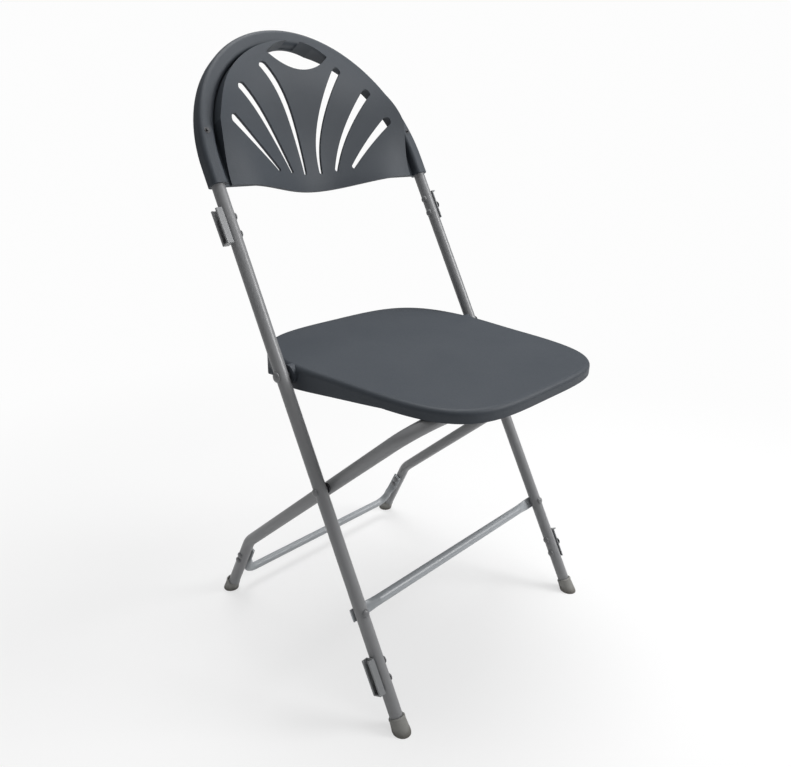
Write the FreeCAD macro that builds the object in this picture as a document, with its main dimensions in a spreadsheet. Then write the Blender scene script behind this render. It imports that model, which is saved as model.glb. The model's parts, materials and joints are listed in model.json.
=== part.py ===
"""Folding link chair: tube frame, moulded back and seat, rear legs that fold. Millimetres, +Z up.

The chair stands open and faces -Y. Its middle plane is X = 0 and the floor is Z = 0.
"""
import FreeCAD, Part

import math
import os

import Sketcher

V = FreeCAD.Vector
ORIGIN = V(0, 0, 0)

doc = FreeCAD.newDocument("folding_chair")

# ---------------------------------------------------------------- driving sizes
SIZES = {
    # leaning frame: "along" is measured up the leaning tubes from the floor
    "lean_angle": 27.18, "foot_reach": 198.7, "foot_half": 207.2, "leg_taper": 0.786,
    "tube_radius": 9.0, "tube_wall": 1.2, "arch_along": 779.0,
    "cross_along": 331.5, "seat_along": 490.0, "bar_along": 162.0,
    # rear legs, measured from the crossing pivot
    "rear_rise": 40.4, "rear_run": 274.0, "rear_steep": 62.5, "rear_reach": 193.0,
    "leg_gap": 2.65, "rear_taper": 0.4, "rear_splay": 2.0, "corner_bend": 45.0, "rear_bar_drop": 96.0,
    # cross bars, pins and screws
    "front_bar_radius": 7.2, "rear_bar_radius": 6.6, "bar_wall": 1.0, "strap_thickness": 3.2,
    "rivet_radius": 3.0, "rivet_head": 5.4, "seat_pin_radius": 4.0, "pin_head": 7.4, "running_gap": 0.05,
    # feet: how far the cap stands out from its tube at the top and at the floor
    "cap_height": 21.0, "cap_wall": 1.6, "cap_flare": 3.4,
    # back: its bottom is measured down from the arch's centre, its sides in from the arch's middle line
    "back_drop": 25.0, "rim_wall": 2.2, "crown_margin": 12.5, "side_margin": 21.5, "panel_thickness": 4.5,
    # seat
    "seat_tilt": 2.0, "seat_gap": 4.48, "seat_front": 280.0, "seat_rear": 128.5, "seat_top": 13.3,
    "seat_wall": 3.6, "skirt_rear": 43.0, "skirt_pivot": 34.0, "skirt_front": 16.2, "lug_radius": 13.0,
    "rail_half": 112.0, "rail_thickness": 4.0, "fold_leg_angle": 11.0, "fold_seat_angle": 3.5,
    # link fittings
    "upper_link_drop": 81.0, "lower_link_along": 82.0, "link_length": 48.0, "link_width": 15.0,
    "link_depth": 9.0, "sheet_thickness": 1.8,
}

sheet = doc.addObject("Spreadsheet::Sheet", "sizes")
for row, (alias, number) in enumerate(SIZES.items(), start=1):
    sheet.set(f"A{row}", alias)
    sheet.set(f"B{row}", str(number))
    sheet.setAlias(f"B{row}", alias)
doc.recompute()


def size(alias):
    """The value of one cell of the sheet."""
    return float(sheet.get(alias))


# ---------------------------------------------------------------- shared places
LEAN = math.radians(size("lean_angle"))
UP = V(0, math.sin(LEAN), math.cos(LEAN))            # up the leaning tubes, middle plane
FRONT = V(0, -math.cos(LEAN), math.sin(LEAN))        # square to the tubes, towards the sitter
FOOT_LINE = V(0, -size("foot_reach"), 0)
TUBE = size("tube_radius")
TAPER = math.tan(math.radians(size("leg_taper")))
REAR_TAPER = math.tan(math.radians(size("rear_taper")))
RISE = math.radians(size("rear_rise"))
REAR_UP = V(0, -math.cos(RISE), math.sin(RISE))      # up the rear legs, towards the seat front
STEEP = math.radians(size("rear_steep"))
REAR_DOWN = V(0, math.cos(STEEP), -math.sin(STEEP))  # down the lower run of the rear legs


def tube_half(along):
    """Half the distance between the leaning tubes at a place up them."""
    return size("foot_half") - TAPER * along


def on_frame(x, along, forward=0.0):
    """A point from the leaning plane's own coordinates."""
    return FOOT_LINE + V(x, 0, 0) + UP * along + FRONT * forward


ARCH = size("arch_along")
REAR_HALF = tube_half(size("cross_along")) - 2 * TUBE - size("leg_gap")
SEAT_HALF = tube_half(size("seat_along")) - TUBE - size("seat_gap")
CROSS = on_frame(0, size("cross_along"))
SEAT_PIVOT = on_frame(0, size("seat_along"))
ROD = CROSS + REAR_UP * size("rear_reach")
BEND = CROSS - REAR_UP * size("rear_run")
REAR_FOOT = BEND + REAR_DOWN * (BEND.z / math.sin(STEEP))

FRAME_PLACE = FreeCAD.Placement(FOOT_LINE, FreeCAD.Rotation(V(1, 0, 0), 90 - size("lean_angle")))
SEAT_PLACE = FreeCAD.Placement(SEAT_PIVOT, FreeCAD.Rotation(V(1, 0, 0), size("seat_tilt")))
DROP_PLACE = FreeCAD.Placement(BEND, FreeCAD.Rotation(V(1, 0, 0), 180 - size("rear_steep")))

nodes = []


def keep(thing, label):
    """Give the finished sub-part its node name and list it for writing."""
    thing.Label = label
    nodes.append(thing)
    return thing


# ---------------------------------------------------------------- PartDesign helpers
def new_body(name, placement):
    body = doc.addObject("PartDesign::Body", name)
    body.Placement = placement
    return body


def new_sketch(body, name, role, offset=None):
    """A sketch on one of the body's own origin planes, moved along its normal if asked."""
    sketch = body.newObject("Sketcher::SketchObject", name)
    plane = next(o for o in body.Origin.OriginFeatures if o.Role == role)
    sketch.AttachmentSupport = (plane, [""])
    sketch.MapMode = "FlatFace"
    if offset is not None:
        sketch.AttachmentOffset = FreeCAD.Placement(V(0, 0, offset), FreeCAD.Rotation())
    return sketch


def circle(sketch, x, y, alias, gap=False):
    """A circle whose radius follows a cell, with the running gap added for a hole."""
    radius = size(alias) + (size("running_gap") if gap else 0.0)
    number = sketch.addGeometry(Part.Circle(V(x, y, 0), V(0, 0, 1), radius), False)
    index = sketch.addConstraint(Sketcher.Constraint("Radius", number, radius))
    sketch.setExpression(f"Constraints[{index}]", f"sizes.{alias}" + (" + sizes.running_gap" if gap else ""))


def ring(sketch, x, y, outer, wall):
    """Two circles for a tube's section: the outside radius and the wall follow cells."""
    circle(sketch, x, y, outer)
    bore_circle(sketch, x, y, outer, wall)


def bore_circle(sketch, x, y, outer, wall):
    """The inside circle of a tube alone."""
    number = sketch.addGeometry(Part.Circle(V(x, y, 0), V(0, 0, 1), size(outer) - size(wall)), False)
    index = sketch.addConstraint(Sketcher.Constraint("Radius", number, size(outer) - size(wall)))
    sketch.setExpression(f"Constraints[{index}]", f"sizes.{outer} - sizes.{wall}")


def polygon(sketch, points):
    """Straight sides through the points, closed."""
    for start, end in zip(points, points[1:] + points[:1]):
        sketch.addGeometry(Part.LineSegment(V(*start, 0), V(*end, 0)), False)


def capsule(sketch, x, y, half_length, half_width, along_x=False):
    """A flat slot shape, two straight sides and two round ends, lying along Y or X of the sketch."""
    def spot(along, across):
        return V(x + along, y + across, 0) if along_x else V(x + across, y + along, 0)

    straight = half_length - half_width
    for sign in (1, -1):
        side = Part.LineSegment(spot(-straight, sign * half_width), spot(straight, sign * half_width))
        sketch.addGeometry(side, False)
        sketch.addGeometry(Part.Arc(spot(sign * straight, -half_width), spot(sign * half_length, 0),
                                    spot(sign * straight, half_width)), False)


def pad(body, sketch, length, middle=False, reverse=False):
    feature = body.newObject("PartDesign::Pad", sketch.Name + "_pad")
    feature.Profile = sketch
    if isinstance(length, str):
        feature.setExpression("Length", length)
    else:
        feature.Length = length
    feature.Midplane = middle
    feature.Reversed = reverse
    sketch.Visibility = False
    return feature


def pocket_through(body, sketch):
    """Cut right through, both ways from the sketch."""
    feature = body.newObject("PartDesign::Pocket", sketch.Name + "_cut")
    feature.Profile = sketch
    feature.Type = 1
    feature.Midplane = True
    sketch.Visibility = False
    return feature


def hollow(body, sketch, length):
    """Cut a length of bore, half each way from the sketch."""
    feature = body.newObject("PartDesign::Pocket", sketch.Name + "_cut")
    feature.Profile = sketch
    feature.Length = length
    feature.Midplane = True
    sketch.Visibility = False
    return feature


def loft(body, sections):
    feature = body.newObject("PartDesign::AdditiveLoft", sections[0].Name + "_loft")
    feature.Profile = sections[0]
    feature.Sections = sections[1:]
    feature.Ruled = True
    return feature


# ---------------------------------------------------------------- Part helpers
def turn_to(direction):
    """The rotation that carries +Z to a direction."""
    return FreeCAD.Rotation(V(0, 0, 1), direction)


def rod_solid(name, start, direction, radius, length):
    """A cylinder; radius and length are numbers or expressions on the sheet."""
    thing = doc.addObject("Part::Cylinder", name)
    thing.Placement = FreeCAD.Placement(start, turn_to(direction))
    thing.setExpression("Radius", str(radius))
    thing.setExpression("Height", str(length))
    return thing


def cone_solid(name, start, direction, first, last, height):
    thing = doc.addObject("Part::Cone", name)
    thing.Placement = FreeCAD.Placement(start, turn_to(direction))
    thing.setExpression("Radius1", first)
    thing.setExpression("Radius2", last)
    thing.setExpression("Height", str(height))
    return thing


def fuse(name, shapes):
    thing = doc.addObject("Part::MultiFuse", name)
    thing.Shapes = shapes
    return thing


def cut(name, base, tool):
    thing = doc.addObject("Part::Cut", name)
    thing.Base = base
    thing.Tool = tool
    return thing


def group(name, things):
    thing = doc.addObject("Part::Compound", name)
    thing.Links = things
    return thing


HEAD_HEIGHT = 2.6
CROWN_SHARE = 0.6     # how wide a head's flat top is beside its foot
HEAD_GAP = 0.3        # under a head that sits on a splayed tube


def rivet(name, start, direction, grip, shank_alias="rivet_radius", head_alias="rivet_head"):
    """A round-headed pin: the shank spans the grip and a low head closes each end."""
    head, crown = f"sizes.{head_alias}", f"sizes.{head_alias} * {CROWN_SHARE}"
    shank = rod_solid(name + "_shank", start, direction, f"sizes.{shank_alias}", grip)
    far = cone_solid(name + "_far", start + direction * grip, direction, head, crown, HEAD_HEIGHT)
    near = cone_solid(name + "_near", start, direction * -1, head, crown, HEAD_HEIGHT)
    return fuse(name, [shank, far, near])


def rounded_path(points, radii):
    """Edges of a path through the points, each inner corner rounded to its radius."""
    edges, start = [], points[0]
    for before, corner, after, radius in zip(points, points[1:], points[2:], radii):
        back, ahead = (before - corner).normalize(), (after - corner).normalize()
        half_angle = back.getAngle(ahead) / 2
        trim = radius / math.tan(half_angle)
        first, last = corner + back * trim, corner + ahead * trim
        inward = (back + ahead).normalize()
        middle = corner + inward * (radius / math.sin(half_angle) - radius)
        edges += [Part.makeLine(start, first), Part.Arc(first, middle, last).toShape()]
        start = last
    return edges + [Part.makeLine(start, points[-1])]


def sweep_ring(edges, radius, wall):
    """A round tube along edges that follow one another smoothly."""
    place, along = edges[0].Vertexes[0].Point, edges[0].tangentAt(edges[0].FirstParameter)
    solids = []
    for reach in (radius, radius - wall):
        profile = Part.Wire([Part.makeCircle(reach, place, along)])
        solids.append(Part.Wire(edges).makePipeShell([profile], True, False))
    return solids[0].cut(solids[1])


def prism(wire, low, high):
    """A flat closed wire at Z = 0 stood up between two heights."""
    face = Part.Face(wire)
    face.translate(V(0, 0, low))
    return face.extrude(V(0, 0, high - low))


def shaped(name, shape, placement):
    """A document object for a free-form shape."""
    thing = doc.addObject("Part::Feature", name)
    thing.Shape = shape
    thing.Placement = placement
    return thing


# ---------------------------------------------------------------- frame: leaning tubes and arch
ARCH_RADIUS = tube_half(ARCH) * math.cos(math.radians(size("leg_taper")))
TUBE_START = 9.0
LINKS = {"upper": ARCH - size("upper_link_drop"), "lower": size("lower_link_along")}
RIVET_STEP = size("link_length") * 0.25


def mirror(point):
    return V(-point.x, point.y, point.z)


def arch_points(start):
    """Start, tangent point and crown of the bent tube's right half, in leaning coordinates."""
    angle = math.radians(size("leg_taper"))
    tangent = V(ARCH_RADIUS * math.cos(angle), ARCH + ARCH_RADIUS * math.sin(angle), 0)
    return V(tube_half(start), start, 0), tangent, V(0, ARCH + ARCH_RADIUS, 0)


body = new_body("frame_body", FRAME_PLACE)
foot, tangent, crown = arch_points(TUBE_START)
path = new_sketch(body, "frame_path", "XY_Plane")
path.addGeometry(Part.LineSegment(foot, tangent), False)
path.addGeometry(Part.Arc(tangent, crown, mirror(tangent)), False)
path.addGeometry(Part.LineSegment(mirror(tangent), mirror(foot)), False)
section = new_sketch(body, "frame_section", "XZ_Plane", -TUBE_START)
ring(section, foot.x, 0, "tube_radius", "tube_wall")
pipe = body.newObject("PartDesign::AdditivePipe", "frame_pipe")
pipe.Profile = section
pipe.Spine = (path, ["Edge1", "Edge2", "Edge3"])
side_holes = new_sketch(body, "frame_side_holes", "YZ_Plane")
circle(side_holes, size("cross_along"), 0, "rivet_radius", gap=True)
circle(side_holes, size("seat_along"), 0, "seat_pin_radius", gap=True)
for place in LINKS.values():
    for step in (-RIVET_STEP, RIVET_STEP):
        circle(side_holes, place + step, 0, "rivet_radius", gap=True)
pocket_through(body, side_holes)
front_holes = new_sketch(body, "frame_front_holes", "XY_Plane")
for side in (-1, 1):
    circle(front_holes, side * tube_half(size("bar_along")), size("bar_along"), "rivet_radius", gap=True)
pocket_through(body, front_holes)
keep(body, "frame_tube")

# ---------------------------------------------------------------- front cross bar with flattened ends
SIDES = {"left": 1, "right": -1}      # the sitter's left is +X
STRAP_HALF = 8.6
FIT = 0.1
HALF_STRAP = size("strap_thickness") / 2
BAR_BACK = -TUBE - HALF_STRAP - FIT   # middle of the flat ends, behind the tubes
BAR_FLAT = 24.0
BAR_BLEND = 24.0
bar_along = size("bar_along")
bar_end = tube_half(bar_along) + STRAP_HALF

body = new_body("front_bar_body", FRAME_PLACE)
middle = new_sketch(body, "front_bar_middle", "YZ_Plane")
circle(middle, bar_along, BAR_BACK, "front_bar_radius")
pad(body, middle, 2 * (bar_end - BAR_FLAT - BAR_BLEND), middle=True)
for tag, side in SIDES.items():
    round_at = side * (bar_end - BAR_FLAT - BAR_BLEND)
    round_end = new_sketch(body, f"front_bar_{tag}_round", "YZ_Plane", round_at)
    circle(round_end, bar_along, BAR_BACK, "front_bar_radius")
    flat_end = new_sketch(body, f"front_bar_{tag}_flat", "YZ_Plane", side * (bar_end - BAR_FLAT))
    capsule(flat_end, bar_along, BAR_BACK, STRAP_HALF, HALF_STRAP, along_x=True)
    loft(body, [round_end, flat_end])
    strap = new_sketch(body, f"front_bar_{tag}_strap", "YZ_Plane", side * (bar_end - BAR_FLAT))
    capsule(strap, bar_along, BAR_BACK, STRAP_HALF, HALF_STRAP, along_x=True)
    pad(body, strap, BAR_FLAT, reverse=side < 0)
bore = new_sketch(body, "front_bar_bore", "YZ_Plane")
bore_circle(bore, bar_along, BAR_BACK, "front_bar_radius", "bar_wall")
hollow(body, bore, 2 * (bar_end - BAR_FLAT - BAR_BLEND))
bar_holes = new_sketch(body, "front_bar_holes", "XY_Plane")
for side in SIDES.values():
    circle(bar_holes, side * tube_half(bar_along), bar_along, "rivet_radius", gap=True)
pocket_through(body, bar_holes)
keep(body, "front_crossbar")

strap_grip = 2 * TUBE + size("strap_thickness") + 2 * FIT
keep(group("front_bar_rivets", [
    rivet(f"front_bar_rivet_{tag}", on_frame(side * tube_half(bar_along), bar_along, TUBE), FRONT * -1,
          strap_grip)
    for tag, side in SIDES.items()]), "crossbar_rivets")

# ---------------------------------------------------------------- rear legs: one bent tube
LEG_BEND = 50.0
SPLAY = math.tan(math.radians(size("rear_splay")))
drop_length = (REAR_FOOT - BEND).Length


def rear_half(up):
    """Half the distance between the rear legs, measured up them from the crossing."""
    return REAR_HALF - REAR_TAPER * up


def drop_half(down):
    """The same on the steep lower run, measured down from the bend."""
    return rear_half(-size("rear_run")) + SPLAY * down


foot = V(drop_half(drop_length - TUBE_START), 0, 0) + REAR_FOOT - REAR_DOWN * TUBE_START
bend = V(drop_half(0), 0, 0) + BEND
corner = V(rear_half(size("rear_reach")), 0, 0) + ROD
points = [foot, bend, corner, mirror(corner), mirror(bend), mirror(foot)]
corner_bend = size("corner_bend")
leg_path = rounded_path(points, [LEG_BEND, corner_bend, corner_bend, LEG_BEND])
legs = sweep_ring(leg_path, TUBE, size("tube_wall"))
pin_hole = size("rivet_radius") + size("running_gap")
REAR_RIVETS = (34.0, 47.0)            # down from the bend
cross_holes = [CROSS] + [BEND + REAR_DOWN * down for down in REAR_RIVETS]
for place in cross_holes:
    for side in SIDES.values():
        drill_from = place + V(side * (REAR_HALF - 2 * TUBE), 0, 0)
        legs = legs.cut(Part.makeCylinder(pin_hole, 4 * TUBE, drill_from, V(side, 0, 0)))
keep(shaped("rear_leg_shape", legs, FreeCAD.Placement()), "rear_leg_tube")

# ---------------------------------------------------------------- rear cross bar, bent up along both legs
strap_x = drop_half(REAR_RIVETS[0] - STRAP_HALF) - TUBE - FIT - HALF_STRAP
post_x = strap_x + HALF_STRAP - size("rear_bar_radius")
POST_TOP = -68.0
FLAT_START = -54.0
bar_y = -size("rear_bar_drop")
BAR_BEND = 20.0
body = new_body("rear_bar_body", DROP_PLACE)
path = new_sketch(body, "rear_bar_path", "XY_Plane")
path.addGeometry(Part.LineSegment(V(-post_x, POST_TOP, 0), V(-post_x, bar_y + BAR_BEND, 0)), False)
turn = BAR_BEND * (1 - math.sqrt(0.5))
path.addGeometry(Part.Arc(V(-post_x, bar_y + BAR_BEND, 0), V(-post_x + turn, bar_y + turn, 0),
                          V(-post_x + BAR_BEND, bar_y, 0)), False)
path.addGeometry(Part.LineSegment(V(-post_x + BAR_BEND, bar_y, 0), V(post_x - BAR_BEND, bar_y, 0)), False)
path.addGeometry(Part.Arc(V(post_x - BAR_BEND, bar_y, 0), V(post_x - turn, bar_y + turn, 0),
                          V(post_x, bar_y + BAR_BEND, 0)), False)
path.addGeometry(Part.LineSegment(V(post_x, bar_y + BAR_BEND, 0), V(post_x, POST_TOP, 0)), False)
section = new_sketch(body, "rear_bar_section", "XZ_Plane", -POST_TOP)
ring(section, -post_x, 0, "rear_bar_radius", "bar_wall")
pipe = body.newObject("PartDesign::AdditivePipe", "rear_bar_pipe")
pipe.Profile = section
pipe.Spine = (path, [f"Edge{number}" for number in range(1, 6)])
for tag, side in SIDES.items():
    round_end = new_sketch(body, f"rear_bar_{tag}_round", "XZ_Plane", -POST_TOP)
    circle(round_end, side * post_x, 0, "rear_bar_radius")
    flat_end = new_sketch(body, f"rear_bar_{tag}_flat", "XZ_Plane", -FLAT_START)
    capsule(flat_end, side * strap_x, 0, STRAP_HALF, HALF_STRAP)
    loft(body, [round_end, flat_end])
    strap = new_sketch(body, f"rear_bar_{tag}_strap", "XZ_Plane", -FLAT_START)
    capsule(strap, side * strap_x, 0, STRAP_HALF, HALF_STRAP)
    pad(body, strap, STRAP_HALF - REAR_RIVETS[0] - FLAT_START, reverse=True)
bar_holes = new_sketch(body, "rear_bar_holes", "YZ_Plane")
for down in REAR_RIVETS:
    circle(bar_holes, -down, 0, "rivet_radius", gap=True)
pocket_through(body, bar_holes)
keep(body, "rear_crossbar")

rear_rivets = []
for number, down in enumerate(REAR_RIVETS, start=1):
    outside, inside = drop_half(down) + TUBE + HEAD_GAP, strap_x - HALF_STRAP - FIT
    for tag, side in SIDES.items():
        start = BEND + REAR_DOWN * down + V(side * outside, 0, 0)
        rear_rivets.append(rivet(f"rear_bar_rivet_{tag}_{number}", start, V(-side, 0, 0), outside - inside))
keep(group("rear_bar_rivet_set", rear_rivets), "rear_bar_rivets")

# ---------------------------------------------------------------- crossing pins, their spacers, seat pins
SPACER_GAP = 0.35
for tag, side in SIDES.items():
    outside = tube_half(size("cross_along")) + TUBE + HEAD_GAP
    inside = REAR_HALF - TUBE - SPACER_GAP
    start = CROSS + V(side * outside, 0, 0)
    keep(rivet(f"cross_pin_{tag}_shape", start, V(-side, 0, 0), outside - inside), f"cross_pin_{tag}")
    near, far = REAR_HALF + TUBE + SPACER_GAP, outside - 2 * (TUBE + HEAD_GAP)
    place = CROSS + V(side * near, 0, 0)
    disc = rod_solid(f"spacer_{tag}_disc", place, V(side, 0, 0), "sizes.rivet_radius * 2.4", far - near)
    bore = rod_solid(f"spacer_{tag}_bore", place, V(side, 0, 0), "sizes.rivet_radius + sizes.running_gap",
                     far - near)
    keep(cut(f"spacer_{tag}", disc, bore), f"leg_spacer_{tag}")

SEAT_BOSS_INSIDE = SEAT_HALF - 11.0
LUG_OUTSIDE = tube_half(size("seat_along")) - TUBE - 0.6
for tag, side in SIDES.items():
    outside = tube_half(size("seat_along")) + TUBE + HEAD_GAP
    start = SEAT_PIVOT + V(side * outside, 0, 0)
    keep(rivet(f"seat_pin_{tag}_shape", start, V(-side, 0, 0), outside - SEAT_BOSS_INSIDE + SPACER_GAP,
               "seat_pin_radius", "pin_head"), f"seat_pin_{tag}")

# ---------------------------------------------------------------- foot caps, cut level with the floor
def foot_cap(name, label, floor_point, up):
    """A tapered cup on the end of a tube."""
    depth = 9.0
    base = floor_point - up * depth
    cone = cone_solid(name + "_cone", base, up, "sizes.tube_radius + sizes.cap_flare",
                      "sizes.tube_radius + sizes.cap_wall", f"sizes.cap_height + {depth}")
    socket = rod_solid(name + "_socket", floor_point + up * (TUBE_START - 0.3), up,
                       "sizes.tube_radius + sizes.running_gap", "sizes.cap_height")
    floor = doc.addObject("Part::Box", name + "_floor")
    floor.Length = floor.Width = floor.Height = 80.0
    floor.Placement = FreeCAD.Placement(V(floor_point.x - 40, floor_point.y - 40, -80), FreeCAD.Rotation())
    keep(cut(name, cut(name + "_cup", cone, socket), floor), label)


for tag, side in SIDES.items():
    foot_cap(f"front_cap_{tag}", f"front_foot_{tag}", on_frame(side * tube_half(0), 0),
             (UP + V(-side * TAPER, 0, 0)).normalize())
    foot_cap(f"rear_cap_{tag}", f"rear_foot_{tag}", REAR_FOOT + V(side * drop_half(drop_length), 0, 0),
             (REAR_DOWN * -1 + V(-side * SPLAY, 0, 0)).normalize())

# ---------------------------------------------------------------- link fittings on the outside of the tubes
SHEET = size("sheet_thickness")
LINK_HALF = size("link_width") / 2
LIP = 3.2
link_half_length = size("link_length") / 2
link_grip = 2 * TUBE + SHEET + FIT
link_rivets = []
for tag, place in LINKS.items():
    wall = tube_half(place - link_half_length) + TUBE + FIT
    # sitter's right side: a pocket, open at the top, whose slot faces outwards
    body = new_body(f"link_socket_{tag}_body", FRAME_PLACE)
    base = new_sketch(body, f"socket_{tag}_section", "XZ_Plane", -(place - link_half_length))
    deep = wall + size("link_depth")
    outline = [(-wall, -LINK_HALF), (-deep, -LINK_HALF), (-deep, -LINK_HALF + LIP),
               (-deep + SHEET, -LINK_HALF + LIP), (-deep + SHEET, -LINK_HALF + SHEET),
               (-wall - SHEET, -LINK_HALF + SHEET)]
    polygon(base, outline + [(x, -z) for x, z in reversed(outline)])
    pad(body, base, "sizes.link_length", reverse=True)
    bottom = new_sketch(body, f"socket_{tag}_bottom", "XZ_Plane", -(place - link_half_length))
    polygon(bottom, [(-wall, -LINK_HALF), (-deep, -LINK_HALF), (-deep, LINK_HALF), (-wall, LINK_HALF)])
    pad(body, bottom, "sizes.sheet_thickness", reverse=True)
    holes = new_sketch(body, f"socket_{tag}_holes", "YZ_Plane")
    for step in (-RIVET_STEP, RIVET_STEP):
        circle(holes, place + step, 0, "rivet_radius", gap=True)
    pocket_through(body, holes)
    keep(body, f"link_socket_{tag}")
    # sitter's left side: a plate with its top tongue turned outwards, and a round-headed stud
    body = new_body(f"link_plate_{tag}_body", FRAME_PLACE)
    plate = new_sketch(body, f"plate_{tag}_side", "XY_Plane")
    top, low = place + link_half_length, place - link_half_length
    tongue = wall + size("link_depth") * 0.8
    polygon(plate, [(wall, low), (wall + SHEET, low), (wall + SHEET, top - SHEET), (tongue, top - SHEET),
                    (tongue, top), (wall, top)])
    pad(body, plate, "sizes.link_width", middle=True)
    holes = new_sketch(body, f"plate_{tag}_holes", "YZ_Plane")
    for step in (-RIVET_STEP, 0.0, RIVET_STEP):
        circle(holes, place + step, 0, "rivet_radius", gap=True)
    pocket_through(body, holes)
    keep(body, f"link_plate_{tag}")
    stud_start = on_frame(wall + FIT, place)
    shank = rod_solid(f"stud_{tag}_shank", stud_start, V(1, 0, 0), "sizes.rivet_radius",
                      "sizes.sheet_thickness + sizes.link_depth * 0.5")
    stud_head = stud_start + V(SHEET + size("link_depth") * 0.5, 0, 0)
    head = rod_solid(f"stud_{tag}_head", stud_head, V(1, 0, 0), "sizes.rivet_radius * 2.1", HEAD_HEIGHT)
    keep(fuse(f"stud_{tag}", [shank, head]), f"link_stud_{tag}")
    for step in (-RIVET_STEP, RIVET_STEP):
        for side_tag, side in SIDES.items():
            start = on_frame(side * (wall + SHEET), place + step)
            link_rivets.append(rivet(f"link_rivet_{tag}_{side_tag}_{len(link_rivets)}", start, V(-side, 0, 0),
                                     link_grip + wall - tube_half(place + step) - TUBE))
keep(group("link_rivet_set", link_rivets), "link_rivets")

# ---------------------------------------------------------------- back: rim round the arch, fan panel
BACK_BOTTOM = ARCH - size("back_drop")
RIM = TUBE + size("rim_wall")
PANEL = ARCH_RADIUS - size("crown_margin")
PANEL_HALF = ARCH_RADIUS - size("side_margin")
SKIN = size("panel_thickness")
WALL_BACK = -7.0      # the back face of the ledge between the rim and the panel
FLOOR_SKIN = 4.0      # the ledge's thickness
# level above the arch centre: how far forward the middle and the edges stand, and how flat the middle is
HOLLOW_ROWS = [(-40, -48, 1, 1.0), (11, -32, 7, 1.0), (71, -12, 29, 0.2), (126, 12, 30, 0.0),
               (160, 20, 19, 0.0), (195, 20, 13, 0.0)]
SPLINE_HALF = PANEL_HALF + 22.0


def forward_of_row(x, middle, edge, flat):
    """Cross-section of the hollowed panel: a mix of a bell and a plain curve."""
    share = min(abs(x) / PANEL_HALF, 1.12)
    bell = (1 - math.cos(math.pi * min(share, 1.0))) / 2
    return middle + (edge - middle) * (flat * bell + (1 - flat) * share ** 2)


def row_wire(row, thickness):
    """One closed section; with no thickness given it is closed far behind, as a solid backing."""
    level, middle, edge, flat = row
    steps = [SPLINE_HALF * step / 6 for step in range(-6, 7)]
    front = [V(x, ARCH + level, forward_of_row(x, middle, edge, flat)) for x in steps]
    if thickness is None:
        back = [V(-SPLINE_HALF, ARCH + level, -90), V(SPLINE_HALF, ARCH + level, -90)]
    else:
        back = [point - V(0, 0, thickness) for point in front]
    curves = []
    for points in (front, back):
        if len(points) == 2:
            curves.append(Part.makeLine(*points))
        else:
            curve = Part.BSplineCurve()
            curve.interpolate(points)
            curves.append(curve.toShape())
    ends = [Part.makeLine(front[-1], back[-1]), Part.makeLine(back[0], front[0])]
    return Part.Wire([curves[0], ends[0], curves[1], ends[1]])


def panel_outline(inset):
    """The panel's edge: straight sides under a round top."""
    radius, half, low = PANEL - inset, PANEL_HALF - inset, BACK_BOTTOM + inset
    shoulder = math.sqrt(radius ** 2 - half ** 2)
    return Part.Wire([
        Part.makeLine(V(-half, low, 0), V(half, low, 0)),
        Part.makeLine(V(half, low, 0), V(half, ARCH + shoulder, 0)),
        Part.Arc(V(half, ARCH + shoulder, 0), V(0, ARCH + radius, 0), V(-half, ARCH + shoulder, 0)).toShape(),
        Part.makeLine(V(-half, ARCH + shoulder, 0), V(-half, low, 0))])


SLOT_END = 0.32       # how far a slot's round end stands out, as a share of its width


def fan_slot(stations):
    """A curved slot with round ends: each station gives the centre line and the width."""
    start, middle, end = [V(x, ARCH + level, 0) for x, level, width in stations]
    across = V(end.y - start.y, start.x - end.x, 0).normalize()
    left = [p + across * (w / 2) for p, (_, _, w) in zip((start, middle, end), stations)]
    right = [p - across * (w / 2) for p, (_, _, w) in zip((start, middle, end), stations)]
    top_tip = end + (end - middle).normalize() * (stations[2][2] * SLOT_END)
    low_tip = start + (start - middle).normalize() * (stations[0][2] * SLOT_END)
    return Part.Wire([Part.Arc(*left).toShape(), Part.Arc(left[2], top_tip, right[2]).toShape(),
                      Part.Arc(*reversed(right)).toShape(), Part.Arc(right[0], low_tip, left[0]).toShape()])


def arch_sweep(section):
    """A section carried along the part of the bent tube that the back covers."""
    start, bend_start, top = arch_points(BACK_BOTTOM)
    edges = [Part.makeLine(start, bend_start), Part.Arc(bend_start, top, mirror(bend_start)).toShape(),
             Part.makeLine(mirror(bend_start), mirror(start))]
    return Part.Wire(edges).makePipeShell([section], True, False)


def rounded_square(centre, half, radius):
    """A rounded square wire square to the leaning tubes (in X and forward)."""
    flat = half - radius
    curve = radius * (1 - math.sqrt(0.5))
    edges = []
    for quarter in range(4):
        turn = FreeCAD.Rotation(V(0, 1, 0), 90 * quarter)
        side = [V(-flat, 0, half), V(flat, 0, half), V(half - curve, 0, half - curve), V(half, 0, flat)]
        a, b, c, d = (centre + turn.multVec(point) for point in side)
        edges += [Part.makeLine(a, b), Part.Arc(b, c, d).toShape()]
    return Part.Wire(Part.__sortEdges__(edges))


tube_start = arch_points(BACK_BOTTOM)[0]
rim = arch_sweep(rounded_square(tube_start, RIM, RIM * 0.55))
tube_space = arch_sweep(Part.Wire([Part.makeCircle(TUBE + size("running_gap"), tube_start, V(0, 1, 0))]))

panel_wires = [row_wire(row, SKIN) for row in HOLLOW_ROWS]
backing_wires = [row_wire(row, None) for row in HOLLOW_ROWS]
panel = Part.makeLoft(panel_wires, True, False).common(prism(panel_outline(0), -80, 60))
edge_ring = prism(panel_outline(0), WALL_BACK, 60).cut(prism(panel_outline(SKIN * 0.8), WALL_BACK - 1, 61))
edge_wall = Part.makeLoft(backing_wires, True, False).common(edge_ring)

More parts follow.
